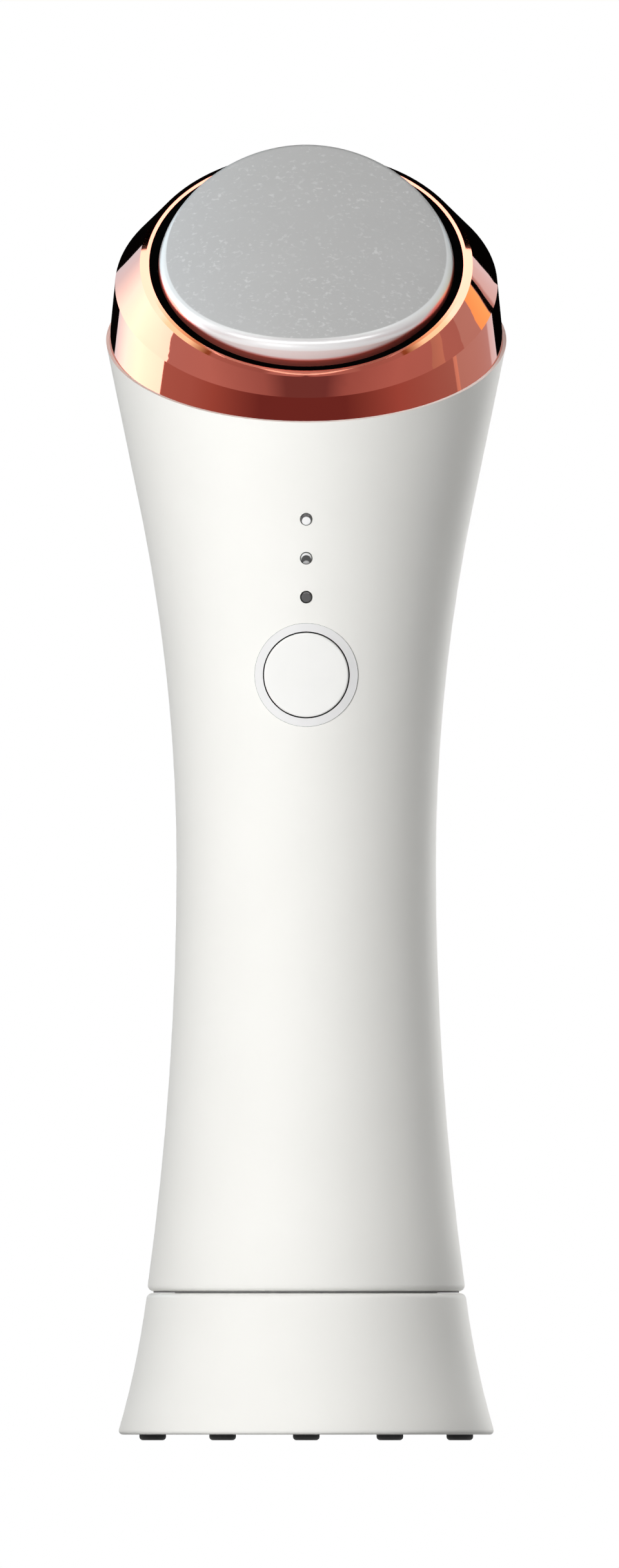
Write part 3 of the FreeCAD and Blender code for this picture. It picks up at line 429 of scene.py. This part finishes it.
plunger_white = mottled("plunger_white", (0.76, 0.76, 0.73), (0.8, 0.8, 0.77), patch=2 * MM,
                        grain=0.1 * MM, depth=0.01 * MM, rough=(0.4, 0.5))
# Painted shade on the walls of the gap between button and bezel
paint_shade_by_button(button_white, clear=0.985, dark=0.99)
paint_shade_by_button(bezel_grey, clear=1.016, dark=1.01)

# Streaked metals
screw_steel = drawn_metal("screw_steel", grey(0.42), grey(0.56), streaks=(900, 900, 5000),
                          rough=(0.25, 0.4), depth=0.01 * MM)
bright_steel = drawn_metal("bright_steel", grey(0.55), grey(0.7), streaks=(400, 400, 4000),
                           rough=(0.16, 0.3), depth=0.006 * MM)
sink_aluminium = drawn_metal("sink_aluminium", grey(0.55), grey(0.68), streaks=(3000, 300, 300),
                             rough=(0.28, 0.42), depth=0.01 * MM)
contact_brass = drawn_metal("contact_brass", (0.62, 0.42, 0.15), (0.74, 0.52, 0.2), streaks=(2500, 2500, 500),
                            rough=(0.14, 0.26), depth=0.004 * MM)

# Lenses, with painted reflections and a rim of painted shade
lens_high = lens_finish("indicator_lens_high", "light_pipe_high", rim=0.16,
                        discs=[(0.0, 0.86, LENS_DIM), (-0.3, 0.72, LENS_WHITE)])
lens_mid = lens_finish("indicator_lens_mid", "light_pipe_mid", rim=0.06,
                       discs=[(0.0, 0.88, LENS_PALE), (-0.32, 0.84, LENS_DARK), (-1.0, 0.6, LENS_GREY)])
lens_low = lens_finish("indicator_lens_low", "light_pipe_low", rim=0.02, discs=[(0.0, 0.82, LENS_DIM)])

# The nodes that each finish dresses
finishes = {
    white_shell: ["handle_shell", "stand_shell"],
    button_white: ["power_button"],
    bezel_grey: ["button_bezel"],
    groove_black_and_shade: ["plate_insulator"],
    black_plastic: ["switch_housing", "head_frame", "chassis", "bottom_cap", "stand_base_plate"],
    black_rubber: ["stand_feet", "cap_seal"],
    seat_rubber_and_shade: ["seat_ring"],
    chip_black: ["board_chips"],
    ceramic_white: ["peltier_module"],
    pad_grey: ["thermal_pad", "foam_gasket"],
    sensor_black: ["thermistor"],
    led_white: ["indicator_leds"],
    plunger_white: ["switch_plunger"],
    screw_steel: ["stand_screws", "charge_board_screws", "cap_screws", "board_screws", "sink_screws",
                  "pin_spring_left", "pin_spring_right"],
    bright_steel: ["usb_inlet", "motor_can", "motor_strap", "motor_shaft", "eccentric_weight"],
    sink_aluminium: ["heat_sink"],
    contact_brass: ["pin_barrels", "spring_pin_left", "spring_pin_right", "charge_contacts", "battery_tabs"],
    rose_gold_finish(): ["trim_ring"],
    plate_finish(): ["massage_plate"],
    board_finish(): ["main_board", "charge_board"],
    battery_finish(): ["battery_cell"],
    lead_finish(): ["battery_leads", "peltier_leads", "motor_leads", "charge_leads"],
    tongue_finish(): ["usb_tongue"],
    lens_high: ["light_pipe_high"],
    lens_mid: ["light_pipe_mid"],
    lens_low: ["light_pipe_low"],
}
for finish, names in finishes.items():
    for name in names:
        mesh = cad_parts[name].data
        mesh.materials.clear()
        mesh.materials.append(finish.material)


# Pieces that stand for nodes of the same shape
def joined_mesh(name, node):
    # A node's mesh with its points joined where the surface starts and ends.
    mesh = bpy.data.meshes.new(name)
    joined = bmesh.new()
    joined.from_mesh(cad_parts[node].data)
    bmesh.ops.remove_doubles(joined, verts=joined.verts, dist=JOIN_DISTANCE)
    joined.to_mesh(mesh)
    joined.free()
    mesh.attributes.remove(mesh.attributes["custom_normal"])
    mesh.shade_smooth()
    mesh.set_sharp_from_angle(angle=SHARP_ANGLE)
    mesh.materials.append(white_shell.material)
    return mesh


# The shells' skins, on which no line of shading shows where the surface starts and ends
for name, node, body in (("handle_skin", "handle_shell", "massager"), ("stand_skin", "stand_shell", "stand")):
    skin = add_to_scene(name, joined_mesh(name, node))
    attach(skin, body)
    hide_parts(node)

# The coil springs, copied onto the stand with meshes of their own; on the real stand they shorten as their
# pins are pressed
for side in ("left", "right"):
    node = "pin_spring_" + side
    spring = add_to_scene("spring_coil_" + side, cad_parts[node].data.copy())
    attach(spring, "stand")
    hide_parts(node)
    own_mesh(spring)


# Studio
def heading(azimuth, elevation):
    # Unit vector: azimuth 0 is the front, and 90 the right as seen from the front.
    turn = math.radians(azimuth)
    rise = math.radians(elevation)
    return Vector((math.sin(turn) * math.cos(rise), -math.cos(turn) * math.cos(rise), math.sin(rise)))


def emitter(name):
    # A glowing material, its node tree and the node of its glow.
    material = bpy.data.materials.new(name)
    material.use_nodes = True
    tree = material.node_tree
    tree.nodes.clear()
    output = tree.nodes.new("ShaderNodeOutputMaterial")
    glow = tree.nodes.new("ShaderNodeEmission")
    tree.links.new(glow.outputs["Emission"], output.inputs["Surface"])
    return material, tree, glow


def card_finish(name, strength, stops, along="X"):
    # Glow that changes along the card, from stops of (share of its width or height, colour).
    material, tree, glow = emitter(name)
    set_sockets(glow, Strength=strength)
    place = tree.nodes.new("ShaderNodeTexCoord")
    split = tree.nodes.new("ShaderNodeSeparateXYZ")
    ramp = tree.nodes.new("ShaderNodeValToRGB")
    set_stops(ramp.color_ramp, stops)
    tree.links.new(place.outputs["UV"], split.inputs["Vector"])
    tree.links.new(split.outputs[along], ramp.inputs["Fac"])
    tree.links.new(ramp.outputs["Color"], glow.inputs["Color"])
    return material


# How far the cards stand from the head's middle
CARD_RADIUS = 0.45
NEAR_CARD = 0.43

# About how many degrees a face of a card spans, and the fewest faces along a card
CARD_STEP = 4.0
FEWEST_FACES = 2


def face_count(span):
    return max(FEWEST_FACES, round((span[1] - span[0]) / CARD_STEP))


def point_along(span, share):
    return span[0] + share * (span[1] - span[0])


def card(name, azimuths, elevations, material, radius=CARD_RADIUS):
    # A curved reflector card round the head, which only reflections show.
    columns = face_count(azimuths)
    rows = face_count(elevations)
    points = []
    places = []
    for row in range(rows + 1):
        for column in range(columns + 1):
            u = column / columns
            v = row / rows
            direction = heading(point_along(azimuths, u), point_along(elevations, v))
            points.append(HEAD_MIDDLE + radius * direction)
            places.append((u, v))
    faces = []
    for row in range(rows):
        for column in range(columns):
            corner = row * (columns + 1) + column
            faces.append((corner, corner + 1, corner + columns + 2, corner + columns + 1))
    mesh = bpy.data.meshes.new(name)
    mesh.from_pydata(points, [], faces)
    layer = mesh.uv_layers.new(name="card")
    for loop in mesh.loops:
        layer.data[loop.index].uv = places[loop.vertex_index]
    mesh.materials.append(material)
    made = add_to_scene(name, mesh)
    made.visible_camera = False
    made.visible_diffuse = False
    made.visible_transmission = False
    made.visible_shadow = False


# Azimuths and elevations, in degrees, that several cards share
FRONT_LEFT = -90
FRONT_RIGHT = 97
BACK_RIGHT = 147
BACK_LEFT = 206
TOP_RIGHT = 164
TOP_LEFT = 196
FLAG_FOOT = -4
BAND_TOP = 26
SIDE_TOP = 62
FLAG_TOP = 66
RIM_TOP = 80.5
ZENITH = 90

# The dark front of the room, paler towards its sides: low for the ring's band and high for its chamfer
low_tones = [(0.0, (0.54, 0.33, 0.32)), (0.11, (0.5, 0.29, 0.28)), (0.19, (0.43, 0.21, 0.19)),
             (0.34, (0.21, 0.082, 0.088)), (0.6, (0.205, 0.08, 0.085)), (0.64, (0.26, 0.115, 0.11)),
             (0.77, (0.46, 0.225, 0.215)), (1.0, (0.5, 0.38, 0.38))]
card("front_low", (FRONT_LEFT, FRONT_RIGHT), (0, BAND_TOP), card_finish("front_low", 1.0, low_tones))
chamfer_tones = [(0.0, (0.63, 0.49, 0.53)), (0.18, (0.645, 0.47, 0.49)), (0.34, (0.46, 0.3, 0.32)),
                 (0.41, (0.225, 0.125, 0.14)), (0.55, (0.22, 0.12, 0.14)), (0.62, (0.45, 0.28, 0.295)),
                 (0.77, (0.605, 0.41, 0.425)), (1.0, (0.55, 0.41, 0.42))]
chamfer_finish = card_finish("front_high", 1.0, chamfer_tones)
card("front_high", (FRONT_LEFT, FRONT_RIGHT), (BAND_TOP, ZENITH), chamfer_finish)

# Soft boxes and coloured panels at the sides
left_tones = [(0.0, (0.22, 0.31, 0.36)), (0.13, (0.26, 0.38, 0.44)), (0.25, (0.34, 0.52, 0.58)),
              (0.41, (0.65, 0.78, 0.84)), (0.65, grey(1.0)), (1.0, (0.86, 0.86, 0.9))]
card("softbox_left", (-154, FRONT_LEFT), (0, SIDE_TOP), card_finish("softbox_left", 4.0, left_tones))
edge_tones = [(0.0, (0.86, 0.86, 0.9)), (1.0, (0.8, 0.8, 0.84))]
card("softbox_edge", (-91, -83), (30, SIDE_TOP), card_finish("softbox_edge", 4.0, edge_tones), NEAR_CARD)
right_tones = [(0.0, (0.4, 0.39, 0.41)), (0.7, (0.43, 0.42, 0.45)), (0.74, (0.6, 0.82, 0.95)),
               (1.0, (0.62, 0.86, 1.0))]
right_finish = card_finish("softbox_right", 1.6, right_tones)
card("softbox_right", (FRONT_RIGHT, BACK_RIGHT), (0, SIDE_TOP), right_finish)
warm_tones = [(0.0, (1.0, 0.78, 0.32)), (1.0, (1.0, 0.92, 0.38))]
card("panel_warm", (113, 126), (20, 60), card_finish("panel_warm", 1.5, warm_tones), NEAR_CARD)
pale_tones = [(0.0, (0.62, 0.52, 0.46)), (1.0, (0.72, 0.6, 0.52))]
card("panel_pale", (75, 83), (36, SIDE_TOP), card_finish("panel_pale", 1.0, pale_tones), NEAR_CARD)
card("panel_edge", (94, FRONT_RIGHT), (0, 22), card_finish("panel_edge", 1.3, pale_tones), NEAR_CARD)

# Black flags behind the head, at the rim and beside the warm panel
flag_finish = card_finish("flag_black", 1.0, [(0.0, 0.001), (1.0, 0.002)])
card("flag_back", (BACK_RIGHT, BACK_LEFT), (FLAG_FOOT, FLAG_TOP), flag_finish)
card("flag_low", (143, 214), (FLAG_FOOT, 10), flag_finish, NEAR_CARD)
card("flag_rim", (BACK_LEFT, 216), (55, FLAG_TOP), flag_finish, NEAR_CARD)
card("flag_bar", (126.5, 130.5), (18, SIDE_TOP), flag_finish, NEAR_CARD)

# A strip in front for the plate's rounded edge
strip_tones = [(0.0, 0.1), (0.3, 1.0), (0.7, 1.0), (1.0, 0.1)]
card("strip_front", (-60, 56), (26, 48), card_finish("strip_front", 7.0, strip_tones, "Y"), NEAR_CARD)

# Overhead boxes for the rim, cream at its sides and fading to dark at its front
top_tones = [(0.0, 1.0), (0.41, 1.0), (0.44, (0.43, 0.55, 0.36)), (0.46, (0.32, 0.27, 0.15)),
             (0.475, (0.13, 0.054, 0.042)), (0.5, (0.024, 0.012, 0.012))]
card("softbox_top", (TOP_RIGHT, TOP_LEFT), (67, RIM_TOP), card_finish("softbox_top", 3.5, top_tones, "Y"))
high_tones = [(0.0, 1.0), (0.54, 0.97), (0.62, (0.5, 0.78, 0.62)), (0.82, (0.45, 0.66, 0.5)),
              (0.9, (0.25, 0.28, 0.19)), (0.97, (0.1, 0.05, 0.02))]
high_finish = card_finish("softbox_high", 3.5, high_tones, "Y")
card("softbox_high_left", (TOP_LEFT, 260), (FLAG_TOP, RIM_TOP), high_finish)
card("softbox_high_right", (100, TOP_RIGHT), (FLAG_TOP, RIM_TOP), high_finish)
zenith_tones = [(0.0, (0.55, 0.38, 0.38)), (0.47, (0.46, 0.3, 0.31)), (0.6, (0.38, 0.24, 0.25)),
                (0.7, (0.22, 0.12, 0.14))]
card("zenith", (FRONT_RIGHT, 270), (RIM_TOP, ZENITH), card_finish("zenith", 1.0, zenith_tones, "Y"))

# Lamps: azimuth and elevation in degrees, and the share of white that a white surface facing one sends back
LAMP_DISTANCE = 0.6
LAMP_SIZE = 0.3
LAMPS = {
    "lamp_key": (-26, 6, 0.85),
    "lamp_fill": (-10, 6, 0.14),
    "lamp_side": (120, 8, 0.2),
    "lamp_rim": (148, 6, 0.66),
    "lamp_back": (-152, 15, 0.2),
    "lamp_top": (90, 62, 0.24),
}


def lamp(name, azimuth, elevation, level):
    # A disc of light that shines on the body's middle, with the power that gives the level there.
    data = bpy.data.lights.new(name, "AREA")
    data.shape = "DISK"
    data.size = LAMP_SIZE
    data.energy = level * (math.pi * LAMP_DISTANCE) ** 2
    made = add_to_scene(name, data)
    direction = heading(azimuth, elevation)
    made.location = BODY_MIDDLE + LAMP_DISTANCE * direction
    made.rotation_euler = direction.to_track_quat("Z", "Y").to_euler()
    made.visible_glossy = False


for name, settings in LAMPS.items():
    lamp(name, *settings)


def seen_by(tree, rays):
    # 1 for a ray of one of these kinds, and 0 for others.
    path = tree.nodes.new("ShaderNodeLightPath")
    seen = path.outputs[rays[0]]
    for ray in rays[1:]:
        either = tree.nodes.new("ShaderNodeMath")
        either.operation = "MAXIMUM"
        tree.links.new(seen, either.inputs[0])
        tree.links.new(path.outputs[ray], either.inputs[1])
        seen = either.outputs["Value"]
    return seen


# Strength of the world on the object, and to the eye and in reflections
WORLD_LIGHT = 0.02
WORLD_WHITE = 1.0


def make_world():
    # White to the camera and in reflections, and a weak even light on the object.
    world = bpy.data.worlds.new("studio")
    world.use_nodes = True
    tree = world.node_tree
    tree.nodes.clear()
    output = tree.nodes.new("ShaderNodeOutputWorld")
    mix = tree.nodes.new("ShaderNodeMixShader")
    seen = seen_by(tree, ("Is Camera Ray", "Is Glossy Ray", "Is Transmission Ray"))
    tree.links.new(seen, mix.inputs["Fac"])
    for slot, strength in ((1, WORLD_LIGHT), (2, WORLD_WHITE)):
        background = tree.nodes.new("ShaderNodeBackground")
        set_sockets(background, Color=(1, 1, 1, 1), Strength=strength)
        tree.links.new(background.outputs["Background"], mix.inputs[slot])
    tree.links.new(mix.outputs["Shader"], output.inputs["Surface"])
    bpy.context.scene.world = world


# Half of the floor's side, its grey, and the share of plain white that the eye and reflections see in it
FLOOR_HALF = 3.0
FLOOR_GREY = 0.4
FLOOR_WHITE = 0.8


def make_floor():
    # Pale floor at the level of the feet: mostly white to the eye, and dimmed a little by shadows.
    corners = [(x * FLOOR_HALF, y * FLOOR_HALF, 0) for x, y in ((-1, -1), (1, -1), (1, 1), (-1, 1))]
    mesh = bpy.data.meshes.new("floor")
    mesh.from_pydata(corners, [], [(0, 1, 2, 3)])
    material, tree, glow = emitter("floor")
    output = next(node for node in tree.nodes if node.type == "OUTPUT_MATERIAL")
    diffuse = tree.nodes.new("ShaderNodeBsdfDiffuse")
    set_sockets(diffuse, Color=(*grey(FLOOR_GREY), 1))
    share = tree.nodes.new("ShaderNodeMath")
    share.operation = "MULTIPLY"
    share.inputs[1].default_value = FLOOR_WHITE
    tree.links.new(seen_by(tree, ("Is Camera Ray", "Is Glossy Ray")), share.inputs[0])
    mix = tree.nodes.new("ShaderNodeMixShader")
    tree.links.new(share.outputs["Value"], mix.inputs["Fac"])
    tree.links.new(diffuse.outputs["BSDF"], mix.inputs[1])
    tree.links.new(glow.outputs["Emission"], mix.inputs[2])
    tree.links.new(mix.outputs["Shader"], output.inputs["Surface"])
    mesh.materials.append(material)
    floor = add_to_scene("floor", mesh)


def make_camera():
    # Level, from the front and without perspective.
    data = bpy.data.cameras.new("camera")
    data.type = "ORTHO"
    data.ortho_scale = IMAGE_HEIGHT * OBJECT_HEIGHT / OBJECT_PIXELS
    camera = add_to_scene("camera", data)
    camera.location = (CENTRE_COLUMN_OFFSET, -CAMERA_DISTANCE, FRAME_MIDDLE_Z)
    camera.rotation_euler = (math.pi / 2, 0, 0)
    bpy.context.scene.camera = camera


make_world()
make_floor()
make_camera()
bpy.context.scene.view_settings.view_transform = "Standard"
